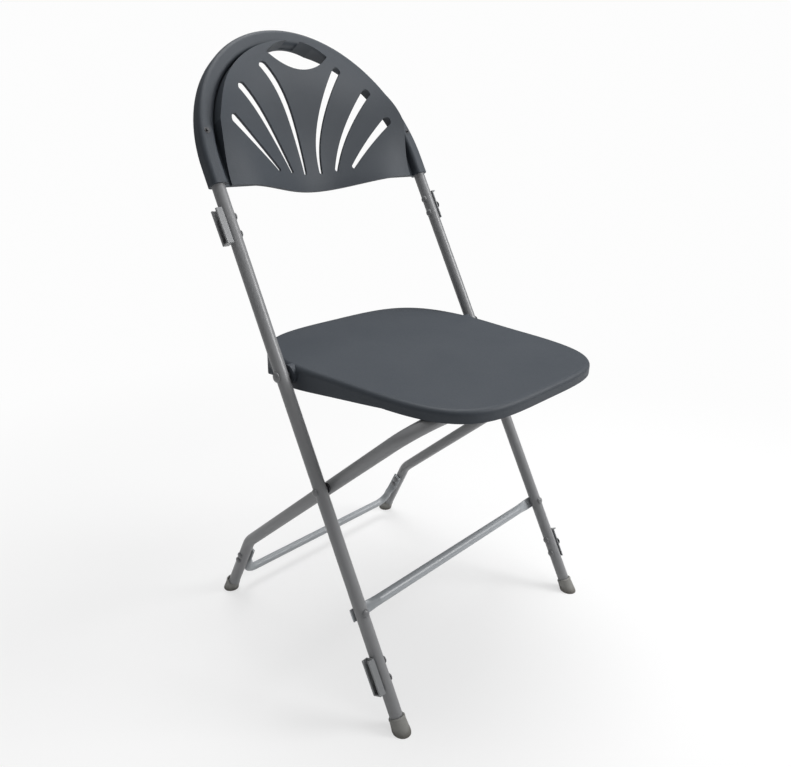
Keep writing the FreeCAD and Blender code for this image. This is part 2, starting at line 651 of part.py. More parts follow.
foot_in, shoulder_in, crown_in = arch_points(BACK_BOTTOM)
arch_face = Part.Wire([Part.makeLine(mirror(foot_in), foot_in), Part.makeLine(foot_in, shoulder_in),
                       Part.Arc(shoulder_in, crown_in, mirror(shoulder_in)).toShape(),
                       Part.makeLine(mirror(shoulder_in), mirror(foot_in))])
recess_floor = prism(arch_face, WALL_BACK, WALL_BACK + FLOOR_SKIN)
recess_floor = recess_floor.cut(prism(panel_outline(SKIN * 0.4), WALL_BACK - 1, WALL_BACK + FLOOR_SKIN + 1))
recess_floor = recess_floor.cut(Part.makeBox(2 * (PANEL_HALF - SKIN), 2 * SKIN, FLOOR_SKIN + 2,
                                             V(SKIN - PANEL_HALF, BACK_BOTTOM - SKIN, WALL_BACK - 1)))

HAND_HALF = 57.0
HAND_LEVELS = (163.0, 184.5, 141.0)      # corners, top and bottom of the hand hole above the arch centre
corner_level, top_level, low_level = (ARCH + level for level in HAND_LEVELS)
hand_hole = Part.Wire([
    Part.Arc(V(-HAND_HALF, corner_level, 0), V(0, top_level, 0), V(HAND_HALF, corner_level, 0)).toShape(),
    Part.Arc(V(HAND_HALF, corner_level, 0), V(0, low_level, 0), V(-HAND_HALF, corner_level, 0)).toShape()])

# centre line and width of each fan slot: bottom, middle and top stations
FAN = [
    [(15.5, 1, 6.2), (25.5, 66, 10.5), (70, 143, 14.5)],
    [(44, 2, 6.2), (76, 61, 10.5), (119, 109, 14.5)],
    [(73, 2, 6.2), (106, 32, 10.0), (147, 63, 14.0)],
]
slot_wires = []
for stations in FAN:
    for side in (1, -1):
        slot_wires.append(fan_slot([(side * x, level, width) for x, level, width in stations]))

back = rim.fuse([panel, edge_wall, recess_floor]).removeSplitter()
for wire in [hand_hole] + slot_wires:
    back = back.cut(prism(wire, -80, 60))
back = back.cut(tube_space)
SCREW_RADIUS = 2.0
SCREW_HEAD = 4.2
SCREW_LEVEL = 47.0
screw_x = tube_half(ARCH + SCREW_LEVEL) - 4.0
TIP_GAP = 0.3         # between a screw's tip and the tube
for side in SIDES.values():
    back = back.cut(Part.makeCylinder(SCREW_RADIUS + size("running_gap"), size("rim_wall") + 2,
                                      V(side * screw_x, ARCH + SCREW_LEVEL, TUBE - 1), V(0, 0, 1)))
keep(shaped("back_shape", back, FRAME_PLACE), "back_shell")

back_screws = []
for tag, side in SIDES.items():
    start = on_frame(side * screw_x, ARCH + SCREW_LEVEL, RIM + FIT)
    shank = rod_solid(f"back_screw_{tag}_shank", start, FRONT * -1, SCREW_RADIUS,
                      size("rim_wall") + FIT - TIP_GAP)
    head = cone_solid(f"back_screw_{tag}_head", start, FRONT, str(SCREW_HEAD), str(SCREW_HEAD * 0.72), 2.0)
    back_screws.append(fuse(f"back_screw_{tag}", [shank, head]))
keep(group("back_screw_set", back_screws), "back_screws")

# ---------------------------------------------------------------- the leg bar in the seat's coordinates
fold_leg = math.radians(size("fold_leg_angle"))
open_place = SEAT_PLACE.inverse().multVec(ROD)
seat_to_cross = size("seat_along") - size("cross_along")
folded_up = size("rear_reach") * math.cos(fold_leg) - seat_to_cross
folded_out = size("rear_reach") * math.sin(fold_leg)
lag = math.radians(size("fold_seat_angle"))
folded_place = V(0, -(folded_up * math.cos(lag) + folded_out * math.sin(lag)),
                 -(folded_out * math.cos(lag) - folded_up * math.sin(lag)))

# ---------------------------------------------------------------- seat: shallow wedge-shaped pan
SEAT_TOP = size("seat_top")
SEAT_WALL = size("seat_wall")
LEG_CLEARANCE = 1.5
REAR_NARROW = REAR_HALF - TUBE - 6.0
HEAD_ROOM = 0.8       # round a seat pin's inner head
EDGE_ROLL = 7.0
SKIRT_KNEE = -160.0
FAR = 300.0


def seat_outline(inset):
    """The seat's plan: a squarish closed curve, tapering to the front."""
    front, rear = size("seat_front") - inset, size("seat_rear") - inset
    middle, reach = (rear - front) / 2, (rear + front) / 2
    points = []
    for step in range(40):
        turn = math.radians(step * 9)
        power = 2 / 3.7 if math.sin(turn) > 0 else 2 / 4.3
        y = middle + reach * math.copysign(abs(math.sin(turn)) ** power, math.sin(turn))
        half = SEAT_HALF - inset - 0.062 * max(-y, 0)
        x = half * math.copysign(abs(math.cos(turn)) ** power, math.cos(turn))
        points.append(V(x, y, 0))
    curve = Part.BSplineCurve()
    curve.interpolate(points, PeriodicFlag=True)
    return Part.Wire(curve.toShape())


def side_block(points, x_low, x_high):
    """A block whose outline is given in Y and Z, reaching from one X to another."""
    corners = [V(x_low, y, z) for y, z in points]
    return Part.Face(Part.makePolygon(corners + corners[:1])).extrude(V(x_high - x_low, 0, 0))


skirt_low = SEAT_TOP - size("skirt_rear") - 4
pan = prism(seat_outline(0), skirt_low, SEAT_TOP)
top_edges = [edge for edge in pan.Edges if all(abs(v.Z - SEAT_TOP) < 0.01 for v in edge.Vertexes)]
pan = pan.makeFillet(EDGE_ROLL, top_edges)
line = [(FAR, -size("skirt_rear")), (size("seat_rear"), -size("skirt_rear")), (0, -size("skirt_pivot")),
        (SKIRT_KNEE, -size("skirt_front")), (-FAR - 50, -size("skirt_front"))]
below = [(y, SEAT_TOP + z) for y, z in line] + [(-FAR - 50, -FAR), (FAR, -FAR)]
pan = pan.cut(side_block(below, -FAR, FAR))
# behind the pivot the skirt is cut away above the folded legs, and an inner wall carries on
leg_to_seat = math.radians(size("fold_leg_angle") - size("fold_seat_angle"))


def above_leg(y):
    """The height that clears a folded leg, in the seat's own coordinates."""
    rise = (y - folded_place.y) * math.tan(leg_to_seat)
    return folded_place.z + rise + (TUBE + LEG_CLEARANCE) / math.cos(leg_to_seat)


leg_space = [(0, above_leg(0)), (FAR, above_leg(FAR)), (FAR, -FAR), (0, -FAR)]
cavity = prism(seat_outline(SEAT_WALL), skirt_low - 1, SEAT_TOP - SEAT_WALL)
for side in SIDES.values():
    inner_wall = V(min(side * REAR_NARROW, side * (REAR_NARROW - SEAT_WALL)), 0, SEAT_TOP - FAR)
    cavity = cavity.cut(Part.makeBox(SEAT_WALL, FAR, FAR, inner_wall))
    pan = pan.cut(side_block(leg_space, side * REAR_NARROW, side * FAR))
pan = pan.cut(cavity)
lug_length = LUG_OUTSIDE - SEAT_BOSS_INSIDE
lugs = [Part.makeCylinder(size("lug_radius"), lug_length, V(side * SEAT_BOSS_INSIDE, 0, 0), V(side, 0, 0))
        for side in SIDES.values()]
pan = pan.fuse(lugs)
for side in SIDES.values():
    pan = pan.cut(Part.makeCylinder(size("seat_pin_radius") + size("running_gap"), 40,
                                    V(side * (SEAT_BOSS_INSIDE - 1), 0, 0), V(side, 0, 0)))
    pan = pan.cut(Part.makeCylinder(size("pin_head") + HEAD_ROOM, 20,
                                    V(side * SEAT_BOSS_INSIDE, 0, 0), V(-side, 0, 0)))

# ---------------------------------------------------------------- rails that the leg bar runs on
REST = TUBE + 0.4
STOP = 6.0
STOP_DROP = 8.0
RAIL_TOP = SEAT_TOP - SEAT_WALL - FIT
front_stop, rear_stop = open_place.y - REST, folded_place.y + REST
rail_slope = (open_place.z - folded_place.z) / (open_place.y - folded_place.y)


def rail_under(y):
    """The height of the rail's underside, which clears the bar at both ends of its travel."""
    return open_place.z + REST * math.hypot(1, rail_slope) + rail_slope * (y - open_place.y)


rail_line = [(rear_stop + STOP, RAIL_TOP), (front_stop - STOP, RAIL_TOP),
             (front_stop - STOP, open_place.z - STOP_DROP), (front_stop, open_place.z - STOP_DROP),
             (front_stop, rail_under(front_stop)),
             (rear_stop, rail_under(rear_stop)), (rear_stop, rail_under(rear_stop) - STOP_DROP),
             (rear_stop + STOP, rail_under(rear_stop) - STOP_DROP)]
FLANGE = 2.0
FLANGE_HALF = 9.0
RAIL_SCREW = 1.8
RAIL_BITE = 2.2       # how far a rail screw goes past the flange into the seat
HOLE_ROOM = 0.4       # past a rail screw's tip
rail_screws = []
screw_spots = [front_stop + 22, (front_stop + rear_stop) / 2, rear_stop - 14]
for tag, side in SIDES.items():
    body = new_body(f"rail_{tag}_body", SEAT_PLACE)
    web = new_sketch(body, f"rail_{tag}_web", "YZ_Plane", side * size("rail_half"))
    polygon(web, rail_line)
    pad(body, web, "sizes.rail_thickness", middle=True)
    flange = new_sketch(body, f"rail_{tag}_flange", "YZ_Plane", side * size("rail_half"))
    polygon(flange, [(rear_stop + STOP, RAIL_TOP), (front_stop - STOP, RAIL_TOP),
                     (front_stop - STOP, RAIL_TOP - FLANGE), (rear_stop + STOP, RAIL_TOP - FLANGE)])
    pad(body, flange, 2 * FLANGE_HALF + size("rail_thickness"), middle=True)
    holes = new_sketch(body, f"rail_{tag}_holes", "XY_Plane")
    for number, y in enumerate(screw_spots):
        x = side * (size("rail_half") + size("rail_thickness") / 2 + FLANGE_HALF / 2 + 1)
        circle(holes, x, y, "rivet_radius", gap=True)
        start = SEAT_PLACE.multVec(V(x, y, RAIL_TOP - FLANGE - FIT))
        upward = SEAT_PLACE.Rotation.multVec(V(0, 0, 1))
        name = f"rail_screw_{tag}_{number}"
        shank = rod_solid(name + "_shank", start, upward, RAIL_SCREW, FLANGE + FIT + RAIL_BITE)
        head = rod_solid(name + "_head", start, upward * -1, RAIL_SCREW * 2.2, 1.8)
        rail_screws.append(fuse(name, [shank, head]))
        pan = pan.cut(Part.makeCylinder(RAIL_SCREW + size("running_gap"), RAIL_BITE + 2 * HOLE_ROOM,
                                        V(x, y, RAIL_TOP - HOLE_ROOM), V(0, 0, 1)))
    pocket_through(body, holes)
    keep(body, f"slide_rail_{tag}")
keep(shaped("seat_shape", pan, SEAT_PLACE), "seat_pan")
keep(group("rail_screw_set", rail_screws), "rail_screws")

# ---------------------------------------------------------------- check and write
doc.recompute()
for thing in doc.Objects:
    if "Invalid" in thing.State or "Error" in thing.State:
        raise RuntimeError(f"{thing.Name} did not build: {thing.State}")
os.makedirs("parts", exist_ok=True)
for node in nodes:
    if node.Shape.isNull() or not node.Shape.isValid():
        raise RuntimeError(f"{node.Label} has no sound shape")
    node.Shape.exportStep(f"parts/{node.Label}.step")
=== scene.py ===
"""The folding link chair's looks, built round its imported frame.

Metres, +Z up, the chair faces -Y and the sitter's left is +X. Every place comes from the frame: the boxes
of its nodes, the joints' places in its record, or a size that a class below names.
"""
from __future__ import annotations

import json
import logging
import math
from dataclasses import dataclass, field
from enum import Enum

import bmesh
import bpy
from mathutils import Matrix, Vector

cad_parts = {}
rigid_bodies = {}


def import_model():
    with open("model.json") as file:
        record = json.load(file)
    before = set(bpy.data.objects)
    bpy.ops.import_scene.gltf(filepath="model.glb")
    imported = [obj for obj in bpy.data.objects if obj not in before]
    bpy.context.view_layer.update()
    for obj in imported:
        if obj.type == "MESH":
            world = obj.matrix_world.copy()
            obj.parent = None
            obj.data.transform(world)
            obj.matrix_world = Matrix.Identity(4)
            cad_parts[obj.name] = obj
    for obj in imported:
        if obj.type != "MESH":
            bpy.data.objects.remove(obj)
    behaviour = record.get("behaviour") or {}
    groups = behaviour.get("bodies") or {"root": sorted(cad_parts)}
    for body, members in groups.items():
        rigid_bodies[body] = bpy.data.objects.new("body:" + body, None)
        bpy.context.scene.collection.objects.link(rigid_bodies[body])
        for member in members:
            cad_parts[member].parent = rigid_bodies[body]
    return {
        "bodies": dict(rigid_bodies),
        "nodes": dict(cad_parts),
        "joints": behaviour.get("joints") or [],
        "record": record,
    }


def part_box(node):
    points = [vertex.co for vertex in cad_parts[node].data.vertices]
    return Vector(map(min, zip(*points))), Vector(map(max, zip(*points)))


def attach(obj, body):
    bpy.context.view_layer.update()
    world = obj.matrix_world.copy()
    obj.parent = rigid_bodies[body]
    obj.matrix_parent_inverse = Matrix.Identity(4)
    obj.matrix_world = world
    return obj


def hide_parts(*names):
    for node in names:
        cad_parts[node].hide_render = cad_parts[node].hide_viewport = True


LOG = logging.getLogger("folding_chair")
Colour = tuple[float, float, float]


class Side(Enum):
    """The two sides of the chair, named for the sitter."""

    LEFT = 1
    RIGHT = -1

    @property
    def tag(self) -> str:
        """The word that the side's nodes end in."""
        return self.name.lower()


class Body(Enum):
    """The three bodies that the chair's pieces ride on."""

    FRAME = "frame"
    LEGS = "rear_legs"
    SEAT = "seat"


# ---------------------------------------------------------------- shader helpers
def add_node(tree: bpy.types.NodeTree, kind: str, settings: dict | None = None,
             inputs: dict | None = None) -> bpy.types.Node:
    """Add one node to a tree.

    Args:
        tree: The material's or group's node tree.
        kind: The node's type name.
        settings: Properties of the node itself.
        inputs: Values for its sockets, by name or number.

    Returns:
        The new node.
    """
    node = tree.nodes.new(kind)
    for name, value in (settings or {}).items():
        setattr(node, name, value)
    for name, value in (inputs or {}).items():
        node.inputs[name].default_value = value
    return node


def rgba(colour: Colour) -> tuple[float, float, float, float]:
    """A colour with full alpha, as a colour socket takes it."""
    return (*colour, 1.0)


def new_group(name: str, inputs: dict[str, float], outputs: list[str]) -> bpy.types.NodeTree:
    """Make an empty shader group that takes a place and some values, and puts out values.

    Args:
        name: The group's name.
        inputs: Value inputs and their defaults. A "Vector" input is always there.
        outputs: Names of the value outputs.

    Returns:
        The group's tree, with its input and output nodes named "in" and "out".
    """
    tree = bpy.data.node_groups.new(name, "ShaderNodeTree")
    tree.interface.new_socket("Vector", in_out="INPUT", socket_type="NodeSocketVector")
    for label, value in inputs.items():
        socket = tree.interface.new_socket(label, in_out="INPUT", socket_type="NodeSocketFloat")
        socket.default_value = value
    for label in outputs:
        tree.interface.new_socket(label, in_out="OUTPUT", socket_type="NodeSocketFloat")
    tree.nodes.new("NodeGroupInput").name = "in"
    tree.nodes.new("NodeGroupOutput").name = "out"
    return tree


class Effects:
    """The shader groups that several finishes share, each built once."""

    def __init__(self) -> None:
        """Build every group."""
        self.grain = self._grain()
        self.drift = self._drift()
        self.scuffs = self._scuffs()
        self.streaks = self._streaks()

    def _grain(self) -> bpy.types.NodeTree:
        """Fine pebbled relief: small rounded cells softened by noise. Puts out a height from 0 to 1."""
        tree = new_group("pebble_grain", {"Scale": 700.0, "Softness": 0.5}, ["Height"])
        source, sink = tree.nodes["in"], tree.nodes["out"]
        cells = add_node(tree, "ShaderNodeTexVoronoi", {"feature": "SMOOTH_F1"}, {"Smoothness": 0.6})
        noise = add_node(tree, "ShaderNodeTexNoise", None, {"Detail": 3.0, "Roughness": 0.55})
        blend = add_node(tree, "ShaderNodeMix", {"data_type": "FLOAT"})
        for texture in (cells, noise):
            tree.links.new(source.outputs["Vector"], texture.inputs["Vector"])
            tree.links.new(source.outputs["Scale"], texture.inputs["Scale"])
        tree.links.new(source.outputs["Softness"], blend.inputs["Factor"])
        tree.links.new(cells.outputs["Distance"], blend.inputs["A"])
        tree.links.new(noise.outputs["Fac"], blend.inputs["B"])
        tree.links.new(blend.outputs["Result"], sink.inputs["Height"])
        return tree

    def _drift(self) -> bpy.types.NodeTree:
        """Slow clouding of a colour over the whole piece. Puts out a mask from 0 to 1."""
        tree = new_group("colour_drift", {"Scale": 9.0, "Contrast": 1.0}, ["Mask"])
        source, sink = tree.nodes["in"], tree.nodes["out"]
        noise = add_node(tree, "ShaderNodeTexNoise", None,
                         {"Detail": 5.0, "Roughness": 0.6, "Distortion": 0.4})
        centre = add_node(tree, "ShaderNodeMath", {"operation": "SUBTRACT"}, {1: 0.5})
        scale = add_node(tree, "ShaderNodeMath", {"operation": "MULTIPLY"})
        lift = add_node(tree, "ShaderNodeMath", {"operation": "ADD", "use_clamp": True}, {1: 0.5})
        tree.links.new(source.outputs["Vector"], noise.inputs["Vector"])
        tree.links.new(source.outputs["Scale"], noise.inputs["Scale"])
        tree.links.new(noise.outputs["Fac"], centre.inputs[0])
        tree.links.new(centre.outputs[0], scale.inputs[0])
        tree.links.new(source.outputs["Contrast"], scale.inputs[1])
        tree.links.new(scale.outputs[0], lift.inputs[0])
        tree.links.new(lift.outputs[0], sink.inputs["Mask"])
        return tree

    def _scuffs(self) -> bpy.types.NodeTree:
        """Handling marks: patches where fine scratches gather. Puts out a mask from 0 to 1."""
        inputs = {"Patch Scale": 14.0, "Scratch Scale": 160.0, "Amount": 0.4}
        tree = new_group("handling_scuffs", inputs, ["Mask"])
        source, sink = tree.nodes["in"], tree.nodes["out"]
        patch = add_node(tree, "ShaderNodeTexNoise", None, {"Detail": 3.0})
        patch_edge = add_node(tree, "ShaderNodeMapRange", {"interpolation_type": "SMOOTHSTEP"},
                              {"From Min": 0.52, "From Max": 0.72})
        scratch = add_node(tree, "ShaderNodeTexNoise", None,
                           {"Detail": 6.0, "Roughness": 0.75, "Distortion": 2.2})
        scratch_edge = add_node(tree, "ShaderNodeMapRange", {"interpolation_type": "SMOOTHSTEP"},
                                {"From Min": 0.55, "From Max": 0.68})
        both = add_node(tree, "ShaderNodeMath", {"operation": "MULTIPLY"})
        amount = add_node(tree, "ShaderNodeMath", {"operation": "MULTIPLY", "use_clamp": True})
        tree.links.new(source.outputs["Vector"], patch.inputs["Vector"])
        tree.links.new(source.outputs["Patch Scale"], patch.inputs["Scale"])
        tree.links.new(source.outputs["Vector"], scratch.inputs["Vector"])
        tree.links.new(source.outputs["Scratch Scale"], scratch.inputs["Scale"])
        tree.links.new(patch.outputs["Fac"], patch_edge.inputs["Value"])
        tree.links.new(scratch.outputs["Fac"], scratch_edge.inputs["Value"])
        tree.links.new(patch_edge.outputs["Result"], both.inputs[0])
        tree.links.new(scratch_edge.outputs["Result"], both.inputs[1])
        tree.links.new(both.outputs[0], amount.inputs[0])
        tree.links.new(source.outputs["Amount"], amount.inputs[1])
        tree.links.new(amount.outputs[0], sink.inputs["Mask"])
        return tree

    def _streaks(self) -> bpy.types.NodeTree:
        """Long faint marks along one direction of the incoming place. Puts out a height from 0 to 1."""
        tree = new_group("drawn_streaks", {"Scale": 260.0}, ["Height"])
        source, sink = tree.nodes["in"], tree.nodes["out"]
        stretch = add_node(tree, "ShaderNodeMapping", None, {"Scale": (1.0, 0.06, 0.06)})
        noise = add_node(tree, "ShaderNodeTexNoise", None, {"Detail": 4.0, "Roughness": 0.6})
        tree.links.new(source.outputs["Vector"], stretch.inputs["Vector"])
        tree.links.new(stretch.outputs["Vector"], noise.inputs["Vector"])
        tree.links.new(source.outputs["Scale"], noise.inputs["Scale"])
        tree.links.new(noise.outputs["Fac"], sink.inputs["Height"])
        return tree


class MaterialMaker:
    """One material while it is being built: its tree, its shader and its place coordinates."""

    def __init__(self, name: str, effects: Effects) -> None:
        """Start a material.

        Args:
            name: The material's name.
            effects: The shared groups.
        """
        self.effects = effects
        self.material = bpy.data.materials.new(name)
        self.material.use_nodes = True
        self.tree = self.material.node_tree
        self.shader = self.tree.nodes["Principled BSDF"]
        self.place = self.tree.nodes.new("ShaderNodeTexCoord").outputs["Object"]

    def group(self, tree: bpy.types.NodeTree, values: dict[str, float]) -> bpy.types.NodeSocket:
        """Place a shared group on the object coordinates and return its only output."""
        node = add_node(self.tree, "ShaderNodeGroup", {"node_tree": tree}, values)
        self.tree.links.new(self.place, node.inputs["Vector"])
        return node.outputs[0]

    def mix_colour(self, mask: bpy.types.NodeSocket, low: bpy.types.NodeSocket | Colour,
                   high: Colour) -> bpy.types.NodeSocket:
        """Blend from one colour to another by a mask."""
        node = add_node(self.tree, "ShaderNodeMix", {"data_type": "RGBA"})
        self.tree.links.new(mask, node.inputs[0])
        if isinstance(low, tuple):
            node.inputs[6].default_value = rgba(low)
        else:
            self.tree.links.new(low, node.inputs[6])
        node.inputs[7].default_value = rgba(high)
        return node.outputs[2]

    def spread(self, value: bpy.types.NodeSocket, low: float, high: float) -> bpy.types.NodeSocket:
        """Map a value of 0 to 1 onto a range, clamped."""
        node = add_node(self.tree, "ShaderNodeMapRange", None, {"To Min": low, "To Max": high})
        self.tree.links.new(value, node.inputs["Value"])
        return node.outputs["Result"]

    def add(self, first: bpy.types.NodeSocket, second: bpy.types.NodeSocket) -> bpy.types.NodeSocket:
        """The sum of two values, clamped to 0 and 1."""
        node = add_node(self.tree, "ShaderNodeMath", {"operation": "ADD", "use_clamp": True})
        self.tree.links.new(first, node.inputs[0])
        self.tree.links.new(second, node.inputs[1])
        return node.outputs[0]

    def near_floor(self, full: float, none: float) -> bpy.types.NodeSocket:
        """A mask that is 1 up to one height and fades to 0 at another."""
        split = self.tree.nodes.new("ShaderNodeSeparateXYZ")
        self.tree.links.new(self.place, split.inputs[0])
        node = add_node(self.tree, "ShaderNodeMapRange", {"interpolation_type": "SMOOTHSTEP"},
                        {"From Min": full, "From Max": none, "To Min": 1.0, "To Max": 0.0})
        self.tree.links.new(split.outputs["Z"], node.inputs["Value"])
        return node.outputs["Result"]

    def colour(self, source: bpy.types.NodeSocket) -> None:
        """Feed the base colour."""
        self.tree.links.new(source, self.shader.inputs["Base Color"])

    def roughness(self, source: bpy.types.NodeSocket) -> None:
        """Feed the roughness."""
        self.tree.links.new(source, self.shader.inputs["Roughness"])

    def relief(self, height: bpy.types.NodeSocket, strength: float, depth: float) -> None:
        """Feed the normal from a height.

        Args:
            height: A value from 0 to 1.
            strength: How much of the relief shows.
            depth: The relief's depth in metres.
        """
        bump = add_node(self.tree, "ShaderNodeBump", None, {"Strength": strength, "Distance": depth})
        self.tree.links.new(height, bump.inputs["Height"])
        self.tree.links.new(bump.outputs["Normal"], self.shader.inputs["Normal"])

    def constants(self, **values: float) -> None:
        """Set plain numbers on the shader's own sockets, given with underscores for spaces."""
        for name, value in values.items():
            self.shader.inputs[name.replace("_", " ").title().replace("Ior", "IOR")].default_value = value


# ---------------------------------------------------------------- finishes
@dataclass(frozen=True)
class MouldedPlastic:
    """Matt plastic with a fine pebbled mould texture and light handling marks."""

    name: str
    colour: Colour
    clouded: Colour
    scuffed: Colour
    grain_scale: float = 620.0
    grain_depth: float = 0.00018
    roughness: tuple[float, float] = (0.50, 0.64)
    scuff_amount: float = 0.35
    scuff_roughness: float = 0.12

    def build(self, effects: Effects) -> bpy.types.Material:
        """Make the material."""
        maker = MaterialMaker(self.name, effects)
        drift = maker.group(effects.drift, {"Scale": 11.0, "Contrast": 1.8})
        scuffs = maker.group(effects.scuffs, {"Patch Scale": 9.0, "Scratch Scale": 210.0,
                                              "Amount": self.scuff_amount})
        grain = maker.group(effects.grain, {"Scale": self.grain_scale, "Softness": 0.45})
        base = maker.mix_colour(drift, self.colour, self.clouded)
        maker.colour(maker.mix_colour(scuffs, base, self.scuffed))
        worn = maker.spread(scuffs, 0.0, self.scuff_roughness)
        maker.roughness(maker.add(maker.spread(grain, *self.roughness), worn))
        maker.relief(grain, 0.6, self.grain_depth)
        maker.constants(metallic=0.0, specular_ior_level=0.38)
        return maker.material


@dataclass(frozen=True)
class PowderCoat:
    """Sprayed and baked paint on steel: faint orange peel and light handling marks."""

    name: str
    colour: Colour
    clouded: Colour
    rubbed: Colour
    peel_scale: float = 420.0
    peel_depth: float = 0.00012
    roughness: tuple[float, float] = (0.34, 0.44)
    scuff_roughness: float = 0.15
    coat: float = 0.15

    def build(self, effects: Effects) -> bpy.types.Material:
        """Make the material."""
        maker = MaterialMaker(self.name, effects)
        drift = maker.group(effects.drift, {"Scale": 16.0, "Contrast": 1.5})
        scuffs = maker.group(effects.scuffs, {"Patch Scale": 22.0, "Scratch Scale": 320.0, "Amount": 0.55})
        peel = maker.group(effects.grain, {"Scale": self.peel_scale, "Softness": 0.8})
        base = maker.mix_colour(drift, self.colour, self.clouded)
        maker.colour(maker.mix_colour(scuffs, base, self.rubbed))
        worn = maker.spread(scuffs, 0.0, self.scuff_roughness)
        maker.roughness(maker.add(maker.spread(drift, *self.roughness), worn))
        maker.relief(peel, 0.35, self.peel_depth)
        maker.constants(metallic=0.0, specular_ior_level=0.5, coat_weight=self.coat, coat_roughness=0.3)
        return maker.material


@dataclass(frozen=True)
class CapPlastic:
    """The feet's moulded caps: warm grey, darker towards the floor."""

    name: str
    colour: Colour
    clouded: Colour
    # the darker colour that the cap blends to in a low band above the floor
    low_band_colour: Colour
    low_band_top: float = 0.012
    grain_depth: float = 0.0002
    roughness: tuple[float, float] = (0.55, 0.75)

    def build(self, effects: Effects) -> bpy.types.Material:
        """Make the material."""
        maker = MaterialMaker(self.name, effects)
        drift = maker.group(effects.drift, {"Scale": 60.0, "Contrast": 2.2})
        grain = maker.group(effects.grain, {"Scale": 900.0, "Softness": 0.6})
        base = maker.mix_colour(drift, self.colour, self.clouded)
        # darker towards the floor: the base colour blends to the darker colour, fully at the floor and fading
        # out at the band's top
        maker.colour(maker.mix_colour(maker.near_floor(0.0, self.low_band_top), base, self.low_band_colour))
        maker.roughness(maker.spread(grain, *self.roughness))
        maker.relief(grain, 0.5, self.grain_depth)
        maker.constants(metallic=0.0, specular_ior_level=0.35)
        return maker.material


@dataclass(frozen=True)
class PlatedSteel:
    """Plated or pressed steel with faint drawn streaks."""

    name: str
    colour: Colour
    tarnish: Colour
    roughness: tuple[float, float] = (0.28, 0.46)
    streak_depth: float = 0.00008

    def build(self, effects: Effects) -> bpy.types.Material:
        """Make the material."""
        maker = MaterialMaker(self.name, effects)
        drift = maker.group(effects.drift, {"Scale": 90.0, "Contrast": 2.0})
        streaks = maker.group(effects.streaks, {"Scale": 900.0})
        maker.colour(maker.mix_colour(drift, self.colour, self.tarnish))
        maker.roughness(maker.spread(streaks, *self.roughness))
        maker.relief(streaks, 0.3, self.streak_depth)
        maker.constants(metallic=0.9, specular_ior_level=0.5)
        return maker.material


Finish = MouldedPlastic | PowderCoat | CapPlastic | PlatedSteel

PLASTIC = MouldedPlastic("charcoal_plastic", (0.036, 0.044, 0.055), (0.045, 0.053, 0.064),
                         (0.078, 0.086, 0.098))
FRAME_PAINT = PowderCoat("frame_paint", (0.205, 0.208, 0.214), (0.228, 0.231, 0.238), (0.29, 0.29, 0.295))
BAR_PAINT = PowderCoat("bar_paint", (0.315, 0.335, 0.352), (0.350, 0.370, 0.388), (0.42, 0.43, 0.44))
LINK_PAINT = PowderCoat("link_paint", (0.190, 0.196, 0.203), (0.225, 0.231, 0.238), (0.30, 0.305, 0.31))
RIVET_PAINT = PowderCoat("rivet_paint", (0.150, 0.153, 0.158), (0.185, 0.188, 0.194), (0.33, 0.33, 0.335))
# the last colour is the darker one that the caps blend to near the floor
CAP = CapPlastic("cap_plastic", (0.215, 0.213, 0.200), (0.262, 0.260, 0.246), (0.120, 0.112, 0.100))
ZINC = PlatedSteel("zinc_plate", (0.42, 0.43, 0.44), (0.30, 0.31, 0.32))
DARK_STEEL = PlatedSteel("dark_steel", (0.075, 0.078, 0.083), (0.12, 0.12, 0.125))
RAIL_STEEL = PlatedSteel("rail_steel", (0.38, 0.39, 0.40), (0.27, 0.28, 0.29), (0.36, 0.55))
NYLON = MouldedPlastic("dark_nylon", (0.035, 0.036, 0.040), (0.045, 0.046, 0.050), (0.08, 0.08, 0.085))


class Dresser:
    """Gives finishes to CAD nodes and new pieces, building each material once."""

    def __init__(self) -> None:
        """Build the shared effects."""
        self.effects = Effects()
        self.made: dict[str, bpy.types.Material] = {}

    def material(self, finish: Finish) -> bpy.types.Material:
        """The finish's material, made the first time it is asked for."""
        if finish.name not in self.made:
            self.made[finish.name] = finish.build(self.effects)
        return self.made[finish.name]

    def dress(self, piece: bpy.types.Object, finish: Finish) -> None:
        """Put one finish on every slot of a piece."""
        if not piece.data.materials:
            piece.data.materials.append(None)
        for number in range(len(piece.data.materials)):
            piece.data.materials[number] = self.material(finish)


# ---------------------------------------------------------------- mesh helpers
SAME_PLACE = 1e-6     # metres
SAME_POLE = 1e-7      # metres, for the points that a turned outline leaves on its axis


@dataclass
class Island:
    """One loose solid of a CAD node: its box."""

    low: Vector
    high: Vector

    @property
    def centre(self) -> Vector:
        """The middle of the box."""
        return (self.low + self.high) / 2


def islands(node: bpy.types.Object) -> list[Island]:
    """Find the separate solids of a node that groups several.

    Args:
        node: The CAD node. Its own mesh isn't changed.

    Returns:
        One island for each solid, in order of X, then Z, then Y.
    """
    mesh = bmesh.new()
    mesh.from_mesh(node.data)
    bmesh.ops.remove_doubles(mesh, verts=mesh.verts, dist=SAME_PLACE)
    left, found = set(mesh.verts), []
    while left:
        reached, edge = set(), [next(iter(left))]
        while edge:
            vert = edge.pop()
            if vert in reached:
                continue
            reached.add(vert)
            edge += [link.other_vert(vert) for link in vert.link_edges]
        left -= reached
        low = Vector([min(vert.co[axis] for vert in reached) for axis in range(3)])
        high = Vector([max(vert.co[axis] for vert in reached) for axis in range(3)])
        found.append(Island(low, high))
    mesh.free()
    return sorted(found, key=lambda one: (round(one.centre.x, 3), one.centre.z, one.centre.y))


